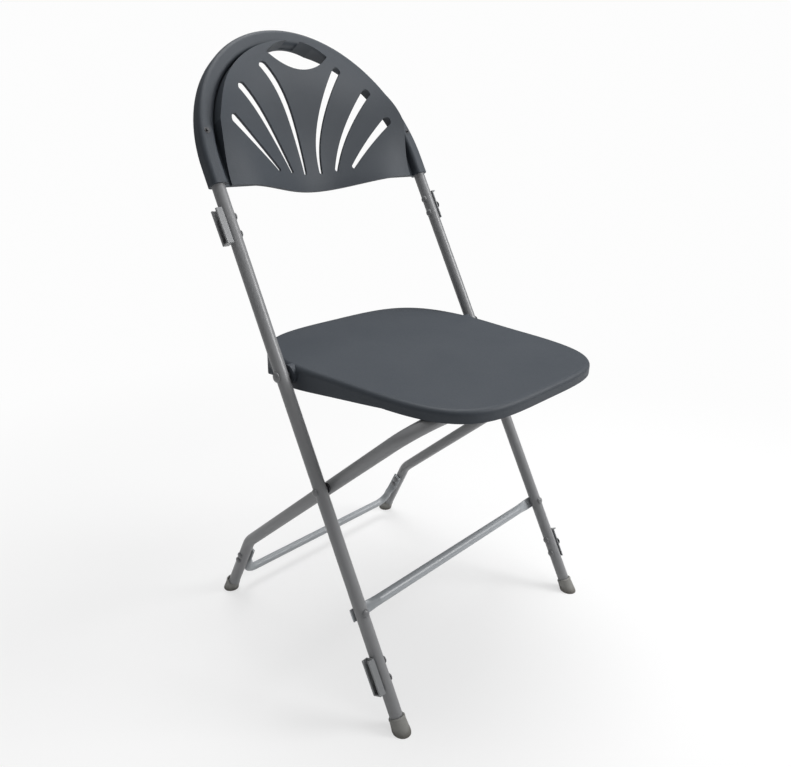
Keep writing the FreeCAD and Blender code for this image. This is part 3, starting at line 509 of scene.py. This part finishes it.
def turned(mesh: bmesh.types.BMesh, outline: list[tuple[float, float]], start: Vector, axis: Vector,
           steps: int = 32) -> None:
    """Turn an outline about an axis, as on a lathe, into a mesh.

    Args:
        mesh: The mesh that takes the shape.
        outline: Radius and distance along the axis, from pole to pole.
        start: The point of the axis that distances count from.
        axis: The direction that distances grow in.
        steps: How many faces go round.
    """
    made = [mesh.verts.new((radius, 0.0, height)) for radius, height in outline]
    edges = [mesh.edges.new(pair) for pair in zip(made, made[1:])]
    bmesh.ops.spin(mesh, geom=made + edges, cent=(0, 0, 0), axis=(0, 0, 1), angle=2 * math.pi, steps=steps,
                   use_merge=True)
    fresh = [vert for vert in mesh.verts if not vert.tag]
    bmesh.ops.remove_doubles(mesh, verts=fresh, dist=SAME_POLE)
    fresh = [vert for vert in mesh.verts if not vert.tag]
    turn = Vector((0, 0, 1)).rotation_difference(axis.normalized()).to_matrix().to_4x4()
    bmesh.ops.transform(mesh, matrix=Matrix.Translation(start) @ turn, verts=fresh)
    for vert in fresh:
        vert.tag = True


def finish_piece(mesh: bmesh.types.BMesh, name: str, body: Body,
                 smooth_angle: float = 35.0) -> bpy.types.Object:
    """Turn a finished mesh into an object that rides on a body.

    Args:
        mesh: The mesh, already in place. It is freed.
        name: The piece's name.
        body: The body that it moves with.
        smooth_angle: Edges sharper than this stay sharp, in degrees.

    Returns:
        The new object.
    """
    bmesh.ops.recalc_face_normals(mesh, faces=mesh.faces)
    limit = math.radians(smooth_angle)
    for face in mesh.faces:
        face.smooth = True
    for edge in mesh.edges:
        edge.smooth = len(edge.link_faces) == 2 and edge.calc_face_angle(0.0) < limit
    data = bpy.data.meshes.new(name)
    mesh.to_mesh(data)
    mesh.free()
    piece = bpy.data.objects.new(name, data)
    bpy.context.scene.collection.objects.link(piece)
    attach(piece, body.value)
    return piece


def dome(radius: float, height: float, base: float, steps: int = 5) -> list[tuple[float, float]]:
    """The outline of a low round head, from its rim to its pole.

    Args:
        radius: The rim's radius.
        height: How high the crown stands.
        base: Where the rim lies along the axis.
        steps: How many points the curve has.

    Returns:
        Radius and distance pairs.
    """
    points = []
    for step in range(steps + 1):
        angle = math.pi / 2 * step / steps
        points.append((radius * math.cos(angle), base + height * math.sin(angle)))
    return points


@dataclass
class ChairFrame:
    """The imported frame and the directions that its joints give."""

    nodes: dict[str, bpy.types.Object]
    seat_pivot: Vector
    cross_pivot: Vector

    @classmethod
    def load(cls) -> ChairFrame:
        """Load the frame and read the two hinges' places from its joints."""
        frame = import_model()
        places = {joint["name"]: Vector(joint["pos_m"]) for joint in frame["joints"]}
        return cls(frame["nodes"], places["seat_fold"], places["rear_leg_fold"])

    @property
    def up(self) -> Vector:
        """Up the leaning tubes, in the middle plane."""
        return (self.seat_pivot - self.cross_pivot).normalized()

    @property
    def front(self) -> Vector:
        """Square to the leaning tubes, towards the sitter."""
        return Vector((-1, 0, 0)).cross(self.up).normalized()


# ---------------------------------------------------------------- sub-assemblies
@dataclass
class RoundFasteners:
    """Domed rivets and pins that stand in for the CAD ones, each turned about its own axis."""

    frame: ChairFrame
    dresser: Dresser
    crown: float = 0.0026
    rim: float = 0.0005
    rivet_shank: float = 0.0030
    rivet_head: float = 0.0054
    pin_shank: float = 0.0040
    pin_head: float = 0.0070
    cad_crown_share: float = 0.6

    def rivet(self, mesh: bmesh.types.BMesh, middle: Vector, axis: Vector, grip: float, shank: float,
              head: float) -> None:
        """Turn one round-headed rivet.

        Args:
            mesh: The mesh that takes it.
            middle: The middle of its length.
            axis: The direction of its length.
            grip: The distance between its heads.
            shank: The shank's radius.
            head: The heads' radius.
        """
        half = grip / 2
        high_head = dome(head, self.crown, half + self.rim)
        low_head = [(radius, -height) for radius, height in reversed(high_head)]
        flanks = [(head, -half), (shank, -half), (shank, half), (head, half)]
        turned(mesh, low_head + flanks + high_head, middle, axis)

    def across(self, node: str, name: str, body: Body, shank: float, head: float) -> bpy.types.Object:
        """Replace a node of rivets that lie along X.

        Args:
            node: The CAD node, with one or more rivets.
            name: The new piece's name.
            body: The body that it rides on.
            shank: The shanks' radius.
            head: The heads' radius.

        Returns:
            The new piece.
        """
        mesh = bmesh.new()
        for island in islands(self.frame.nodes[node]):
            grip = island.high.x - island.low.x - 2 * (self.crown + self.rim)
            self.rivet(mesh, island.centre, Vector((1, 0, 0)), grip, shank, head)
        return self.close(mesh, node, name, body)

    def close(self, mesh: bmesh.types.BMesh, node: str, name: str, body: Body) -> bpy.types.Object:
        """Finish a piece of fasteners, dress it and let it stand for its node."""
        piece = finish_piece(mesh, name, body)
        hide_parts(node)
        self.dresser.dress(piece, RIVET_PAINT)
        return piece

    def build(self) -> None:
        """Replace every rivet and pin."""
        rivet, rivet_head = self.rivet_shank, self.rivet_head
        self.across("link_rivets", "domed_link_rivets", Body.FRAME, rivet, rivet_head)
        self.across("rear_bar_rivets", "domed_rear_bar_rivets", Body.LEGS, rivet, rivet_head)
        for side in Side:
            self.across(f"cross_pin_{side.tag}", f"domed_cross_pin_{side.tag}", Body.FRAME, rivet, rivet_head)
            self.across(f"seat_pin_{side.tag}", f"domed_seat_pin_{side.tag}", Body.FRAME, self.pin_shank,
                        self.pin_head)
        mesh = bmesh.new()
        for island in islands(self.frame.nodes["crossbar_rivets"]):
            middle = island.centre
            reach = (island.high.y - island.low.y) / 2
            slope, level = abs(self.frame.front.y), abs(self.frame.up.y)
            half_length = (reach - rivet_head * level * self.cad_crown_share) / slope
            grip = 2 * (half_length - self.crown - self.rim)
            self.rivet(mesh, middle, self.frame.front, grip, rivet, rivet_head)
        self.close(mesh, "crossbar_rivets", "domed_crossbar_rivets", Body.FRAME)


@dataclass(frozen=True)
class ScrewSize:
    """A pan-head screw's sizes in metres: head radius and height, shank radius and length."""

    head: float
    height: float
    shank: float
    length: float


BACK_SCREW = ScrewSize(0.0042, 0.0022, 0.0019, 0.0024)
RAIL_SCREW = ScrewSize(0.0039, 0.0018, 0.0017, 0.0042)


@dataclass
class CrossScrews:
    """Pan-head screws with a cross recess: two in the back's rim and six under the seat."""

    frame: ChairFrame
    dresser: Dresser
    recess_arm: float = 0.55
    recess_width: float = 0.16
    recess_depth: float = 0.5
    rail_head: float = 0.0020
    top_ring: float = 0.04
    top_band: float = 0.95
    recess_start: float = 1.02
    # the crown's outline, as shares of the head's radius and height
    crown: tuple[tuple[float, float], ...] = ((1.0, 0.0), (1.0, 0.45), (0.93, 0.72), (0.78, 0.92), (0.6, 1.0))

    def screw(self, mesh: bmesh.types.BMesh, seat: Vector, axis: Vector, size: ScrewSize) -> None:
        """Turn one screw, then press the cross into its crown.

        Args:
            mesh: The mesh that takes it.
            seat: The middle of the head's underside.
            axis: The direction that the head points in.
            size: The screw's sizes.
        """
        own = bmesh.new()
        crown = [(size.head * radius, size.height * height) for radius, height in self.crown]
        shank = [(0.0, -size.length), (size.shank, -size.length), (size.shank, 0.0)]
        turned(own, shank + crown + [(0.0, size.height)], Vector(), Vector((0, 0, 1)))
        self.close_top(own, size)
        recess = self.cross(size)
        bmesh.ops.recalc_face_normals(own, faces=own.faces)
        self.carve(own, recess)
        turn = Vector((0, 0, 1)).rotation_difference(axis.normalized()).to_matrix().to_4x4()
        own.transform(Matrix.Translation(seat) @ turn)
        data = bpy.data.meshes.new("screw")
        own.to_mesh(data)
        mesh.from_mesh(data)
        own.free()
        bpy.data.meshes.remove(data)

    def close_top(self, mesh: bmesh.types.BMesh, size: ScrewSize) -> None:
        """Make a head's flat top one face with a narrow ring round it.

        Args:
            mesh: The screw, upright at the origin.
            size: The screw's sizes.
        """
        top = [face for face in mesh.faces if face.calc_center_median().z > size.height * self.top_band]
        bmesh.ops.delete(mesh, geom=top, context="FACES")
        bmesh.ops.holes_fill(mesh, edges=[edge for edge in mesh.edges if edge.is_boundary], sides=0)
        cap = max(mesh.faces, key=lambda face: face.calc_center_median().z)
        bmesh.ops.inset_individual(mesh, faces=[cap], thickness=size.head * self.top_ring, depth=0.0)

    def cross(self, size: ScrewSize) -> bmesh.types.BMesh:
        """A cross-shaped block that reaches down into a head.

        Args:
            size: The screw's sizes.

        Returns:
            The block's mesh.
        """
        arm, width = size.head * self.recess_arm, size.head * self.recess_width
        mesh = bmesh.new()
        corners = [(arm, -width), (arm, width), (width, width), (width, arm), (-width, arm), (-width, width),
                   (-arm, width), (-arm, -width), (-width, -width), (-width, -arm), (width, -arm),
                   (width, -width)]
        start = size.height * self.recess_start
        mesh.faces.new([mesh.verts.new((x, y, start)) for x, y in corners])
        sunk = bmesh.ops.extrude_face_region(mesh, geom=list(mesh.faces))
        lowered = [item for item in sunk["geom"] if isinstance(item, bmesh.types.BMVert)]
        bmesh.ops.translate(mesh, vec=(0, 0, -size.height * self.recess_depth), verts=lowered)
        bmesh.ops.recalc_face_normals(mesh, faces=mesh.faces)
        return mesh

    def carve(self, body: bmesh.types.BMesh, tool: bmesh.types.BMesh) -> None:
        """Cut one closed mesh out of another.

        Args:
            body: The mesh that is cut. Its contents are changed.
            tool: The mesh that cuts. It is freed.
        """
        pair = []
        for name, source in (("carved", body), ("carver", tool)):
            data = bpy.data.meshes.new(name)
            source.to_mesh(data)
            thing = bpy.data.objects.new(name, data)
            bpy.context.scene.collection.objects.link(thing)
            pair.append(thing)
        carved, carver = pair
        cut = carved.modifiers.new("cut", "BOOLEAN")
        cut.operation, cut.solver, cut.object = "DIFFERENCE", "EXACT", carver
        bpy.context.view_layer.update()
        result = bpy.data.meshes.new_from_object(carved.evaluated_get(bpy.context.evaluated_depsgraph_get()))
        body.clear()
        body.from_mesh(result)
        tool.free()
        for thing in pair:
            data = thing.data
            bpy.data.objects.remove(thing)
            bpy.data.meshes.remove(data)
        bpy.data.meshes.remove(result)

    def build(self) -> None:
        """Replace the back's screws and the rails' screws."""
        mesh = bmesh.new()
        for island in islands(self.frame.nodes["back_screws"]):
            self.screw(mesh, island.centre, self.frame.front, BACK_SCREW)
        piece = finish_piece(mesh, "cross_back_screws", Body.FRAME)
        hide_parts("back_screws")
        self.dresser.dress(piece, DARK_STEEL)
        mesh = bmesh.new()
        for island in islands(self.frame.nodes["rail_screws"]):
            seat = Vector((island.centre.x, island.centre.y, island.low.z + self.rail_head))
            self.screw(mesh, seat, Vector((0, 0, -1)), RAIL_SCREW)
        piece = finish_piece(mesh, "cross_rail_screws", Body.SEAT)
        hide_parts("rail_screws")
        self.dresser.dress(piece, ZINC)


@dataclass
class FootCaps:
    """Four moulded caps: a tapered cup with a rolled top and a rounded sole, cut level with the floor."""

    frame: ChairFrame
    dresser: Dresser
    tube_radius: float = 0.0091
    base_radius: float = 0.0123
    top_radius: float = 0.0107
    height: float = 0.0210
    floor_gap: float = 0.0087
    below_floor: float = 0.010
    sole_round: float = 0.0012
    sole_band: float = 0.0005
    upper_share: float = 0.55
    # the flank's first points: out from the base radius, and up from the floor
    flank: tuple[tuple[float, float], ...] = ((0.0, 0.0015), (-0.0004, 0.0035))
    # the rolled top's outline: out from the top radius, and down from the cap's height
    rolled_top: tuple[tuple[float, float], ...] = ((0.0002, 0.0040), (0.0006, 0.0030), (0.0007, 0.0016),
                                                   (0.0002, 0.0004), (-0.0004, 0.0))

    def axis(self, node: str, body: Body) -> Vector:
        """The tube's direction at a cap, from the way the cap's own box leans.

        Args:
            node: The cap's CAD node.
            body: The body that the cap is on.

        Returns:
            A unit vector up the tube.
        """
        mesh = self.frame.nodes[node].data
        heights = [vert.co.z for vert in mesh.vertices]
        top = max(heights)
        upper = [vert.co for vert in mesh.vertices if vert.co.z > top * self.upper_share]
        lower = [vert.co for vert in mesh.vertices if vert.co.z < self.sole_band]
        lean = self.middle(upper) - self.middle(lower)
        if body is Body.FRAME:
            lean.y = lean.z * self.frame.up.y / self.frame.up.z
        return lean.normalized()

    @staticmethod
    def middle(points: list[Vector]) -> Vector:
        """The middle of the box round some points."""
        return Vector([(max(p[a] for p in points) + min(p[a] for p in points)) / 2 for a in range(3)])

    def cap(self, node: str, body: Body) -> None:
        """Model one cap and let it stand for its node.

        Args:
            node: The cap's CAD node.
            body: The body that it rides on.
        """
        axis = self.axis(node, body)
        points = [vert.co for vert in self.frame.nodes[node].data.vertices]
        floor = self.middle([point for point in points if point.z < self.sole_band])
        mesh = bmesh.new()
        base, top, high = self.base_radius, self.top_radius, self.height
        outline = [(0.0, -self.below_floor), (base, -self.below_floor)]
        outline += [(base + out, up) for out, up in self.flank]
        outline += [(top + out, high - down) for out, down in self.rolled_top]
        outline += [(self.tube_radius, high), (self.tube_radius, self.floor_gap), (0.0, self.floor_gap)]
        turned(mesh, outline, floor, axis, steps=40)
        everything = mesh.verts[:] + mesh.edges[:] + mesh.faces[:]
        cut = bmesh.ops.bisect_plane(mesh, geom=everything, plane_co=(0, 0, 0), plane_no=(0, 0, -1),
                                     clear_outer=True)
        rim = [item for item in cut["geom_cut"] if isinstance(item, bmesh.types.BMEdge)]
        bmesh.ops.holes_fill(mesh, edges=rim, sides=0)
        sole = [edge for edge in mesh.edges if all(abs(vert.co.z) < SAME_PLACE for vert in edge.verts)]
        bmesh.ops.bevel(mesh, geom=sole, offset=self.sole_round, segments=3, profile=0.5, affect="EDGES",
                        material=-1)
        piece = finish_piece(mesh, f"moulded_{node}", body)
        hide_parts(node)
        self.dresser.dress(piece, CAP)

    def build(self) -> None:
        """Model all four caps."""
        for side in Side:
            self.cap(f"front_foot_{side.tag}", Body.FRAME)
            self.cap(f"rear_foot_{side.tag}", Body.LEGS)


@dataclass
class LinkStuds:
    """Round-headed studs on the left-hand link plates."""

    frame: ChairFrame
    dresser: Dresser
    head_radius: float = 0.0063
    neck_radius: float = 0.0030
    head_height: float = 0.0026
    head_rim: float = 0.0009
    chamfer: float = 0.0006

    def build(self) -> None:
        """Replace both studs with turned ones."""
        for tag in ("upper", "lower"):
            node = f"link_stud_{tag}"
            low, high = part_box(node)
            middle = (low + high) / 2
            length = high.x - low.x
            under = length - self.head_height
            outline = [(0.0, 0.0), (self.neck_radius, 0.0), (self.neck_radius, under),
                       (self.head_radius - self.chamfer, under), (self.head_radius, under + self.chamfer)]
            outline += dome(self.head_radius, self.head_height - self.head_rim, under + self.head_rim)
            mesh = bmesh.new()
            turned(mesh, outline, Vector((low.x, middle.y, middle.z)), Vector((1, 0, 0)))
            piece = finish_piece(mesh, f"turned_{node}", Body.FRAME)
            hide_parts(node)
            self.dresser.dress(piece, DARK_STEEL)


@dataclass
class CarriedNodes:
    """CAD nodes whose shape is right: each gets its own finish."""

    frame: ChairFrame
    dresser: Dresser

    def build(self) -> None:
        """Dress every carried node."""
        finishes = {
            "frame_tube": FRAME_PAINT, "rear_leg_tube": FRAME_PAINT,
            "front_crossbar": BAR_PAINT, "rear_crossbar": BAR_PAINT,
            "back_shell": PLASTIC, "seat_pan": PLASTIC,
            "slide_rail_left": RAIL_STEEL, "slide_rail_right": RAIL_STEEL,
            "leg_spacer_left": NYLON, "leg_spacer_right": NYLON,
        }
        for tag in ("upper", "lower"):
            finishes[f"link_socket_{tag}"] = finishes[f"link_plate_{tag}"] = LINK_PAINT
        for name, finish in finishes.items():
            self.dresser.dress(self.frame.nodes[name], finish)


@dataclass
class Studio:
    """A pale floor, soft light under a white backdrop, and the camera.

    What the camera sees behind the chair is the backdrop; the chair is lit by a dimmer surround, darker at
    the horizon than overhead. Near the chair the floor takes shadows, and it fades into the backdrop from
    fade_start to fade_end metres away.
    """

    eye: Vector = field(default_factory=lambda: Vector((-0.7102, -0.6725, 0.7310)))
    yaw: float = -46.08
    pitch: float = 19.75
    lens: float = 31.235
    floor_half: float = 30.0
    horizon: float = 0.16
    zenith: float = 0.40
    backdrop: float = 0.98
    nearest_fade: float = 0.62
    fade_start: float = 0.35
    fade_end: float = 1.5
    floor_tone: float = 0.86
    aim_height: float = 0.45

    def build(self) -> None:
        """Set up everything that isn't the chair."""
        self.build_floor()
        self.build_lights()
        self.build_camera()

    def build_floor(self) -> None:
        """A wide plain floor just under the feet."""
        mesh = bmesh.new()
        bmesh.ops.create_grid(mesh, x_segments=1, y_segments=1, size=self.floor_half)
        data = bpy.data.meshes.new("floor")
        mesh.to_mesh(data)
        mesh.free()
        floor = bpy.data.objects.new("floor", data)
        bpy.context.scene.collection.objects.link(floor)
        floor.data.materials.append(self.floor_material())

    def floor_material(self) -> bpy.types.Material:
        """Pale and matt near the chair; what the camera sees of it fades into the backdrop farther off."""
        material = bpy.data.materials.new("pale_floor")
        material.use_nodes = True
        tree = material.node_tree
        shader = tree.nodes["Principled BSDF"]
        shader.inputs["Base Color"].default_value = rgba((self.floor_tone,) * 3)
        shader.inputs["Roughness"].default_value = 0.9
        shader.inputs["Specular IOR Level"].default_value = 0.1
        glow = add_node(tree, "ShaderNodeEmission", None,
                        {"Color": rgba((1.0, 1.0, 1.0)), "Strength": self.backdrop})
        place = tree.nodes.new("ShaderNodeTexCoord")
        reach = add_node(tree, "ShaderNodeVectorMath", {"operation": "LENGTH"})
        fade = add_node(tree, "ShaderNodeMapRange", {"interpolation_type": "SMOOTHSTEP"},
                        {"From Min": self.fade_start, "From Max": self.fade_end,
                         "To Min": self.nearest_fade, "To Max": 1.0})
        seen = add_node(tree, "ShaderNodeMath", {"operation": "MULTIPLY"})
        path = tree.nodes.new("ShaderNodeLightPath")
        mix = tree.nodes.new("ShaderNodeMixShader")
        tree.links.new(place.outputs["Object"], reach.inputs[0])
        tree.links.new(reach.outputs["Value"], fade.inputs["Value"])
        tree.links.new(fade.outputs["Result"], seen.inputs[0])
        tree.links.new(path.outputs["Is Camera Ray"], seen.inputs[1])
        tree.links.new(seen.outputs[0], mix.inputs[0])
        tree.links.new(shader.outputs[0], mix.inputs[1])
        tree.links.new(glow.outputs[0], mix.inputs[2])
        tree.links.new(mix.outputs[0], tree.nodes["Material Output"].inputs["Surface"])
        return material

    def build_lights(self) -> None:
        """A dim surround under a white backdrop, and two large soft panels."""
        world = bpy.data.worlds.new("soft_room")
        bpy.context.scene.world = world
        world.use_nodes = True
        tree = world.node_tree
        seen = tree.nodes["Background"]
        seen.inputs["Color"].default_value = rgba((1.0, 1.0, 1.0))
        seen.inputs["Strength"].default_value = self.backdrop
        # what lights the chair: dim at the horizon, bright overhead
        fill = add_node(tree, "ShaderNodeBackground", None, {"Strength": 1.0})
        place = tree.nodes.new("ShaderNodeTexCoord")
        split = tree.nodes.new("ShaderNodeSeparateXYZ")
        height = add_node(tree, "ShaderNodeMapRange", {"interpolation_type": "SMOOTHSTEP"},
                          {"From Min": 0.0, "From Max": 0.9, "To Min": self.horizon,
                           "To Max": self.zenith})
        tree.links.new(place.outputs["Generated"], split.inputs[0])
        tree.links.new(split.outputs["Z"], height.inputs["Value"])
        tree.links.new(height.outputs["Result"], fill.inputs["Color"])
        path = tree.nodes.new("ShaderNodeLightPath")
        choose = tree.nodes.new("ShaderNodeMixShader")
        tree.links.new(path.outputs["Is Camera Ray"], choose.inputs[0])
        tree.links.new(fill.outputs[0], choose.inputs[1])
        tree.links.new(seen.outputs[0], choose.inputs[2])
        tree.links.new(choose.outputs[0], tree.nodes["World Output"].inputs["Surface"])
        self.panel("key", place=Vector((1.5, -1.7, 1.7)), size=0.9, power=40.0)
        self.panel("top", place=Vector((0.5, 0.2, 2.7)), size=1.6, power=46.0)

    def panel(self, name: str, place: Vector, size: float, power: float) -> None:
        """Hang one square light panel that faces the chair.

        Args:
            name: The light's name.
            place: Where it hangs.
            size: The side of the square.
            power: Its power in watts.
        """
        light = bpy.data.lights.new(name, "AREA")
        light.shape, light.size, light.energy = "SQUARE", size, power
        lamp = bpy.data.objects.new(name, light)
        bpy.context.scene.collection.objects.link(lamp)
        aim = Vector((0.0, 0.0, self.aim_height)) - place
        lamp.matrix_world = Matrix.Translation(place) @ aim.to_track_quat("-Z", "Y").to_matrix().to_4x4()

    def build_camera(self) -> None:
        """The camera, level from side to side and tipped down."""
        data = bpy.data.cameras.new("camera")
        data.lens = self.lens
        camera = bpy.data.objects.new("camera", data)
        bpy.context.scene.collection.objects.link(camera)
        yaw, pitch = math.radians(self.yaw), math.radians(self.pitch)
        view = Vector((-math.sin(yaw) * math.cos(pitch), math.cos(yaw) * math.cos(pitch), -math.sin(pitch)))
        turn = view.to_track_quat("-Z", "Y").to_matrix().to_4x4()
        camera.matrix_world = Matrix.Translation(self.eye) @ turn
        bpy.context.scene.camera = camera
        bpy.context.scene.view_settings.view_transform = "Standard"


def main() -> None:
    """Load the frame, build every sub-assembly and the studio, and report each."""
    logging.basicConfig(level=logging.INFO, format="%(name)s: %(message)s")
    frame = ChairFrame.load()
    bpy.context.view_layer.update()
    dresser = Dresser()
    for part in (CarriedNodes(frame, dresser), RoundFasteners(frame, dresser), CrossScrews(frame, dresser),
                 FootCaps(frame, dresser), LinkStuds(frame, dresser), Studio()):
        part.build()
        LOG.info("%s built", type(part).__name__)


if __name__ == "__main__":
    main()
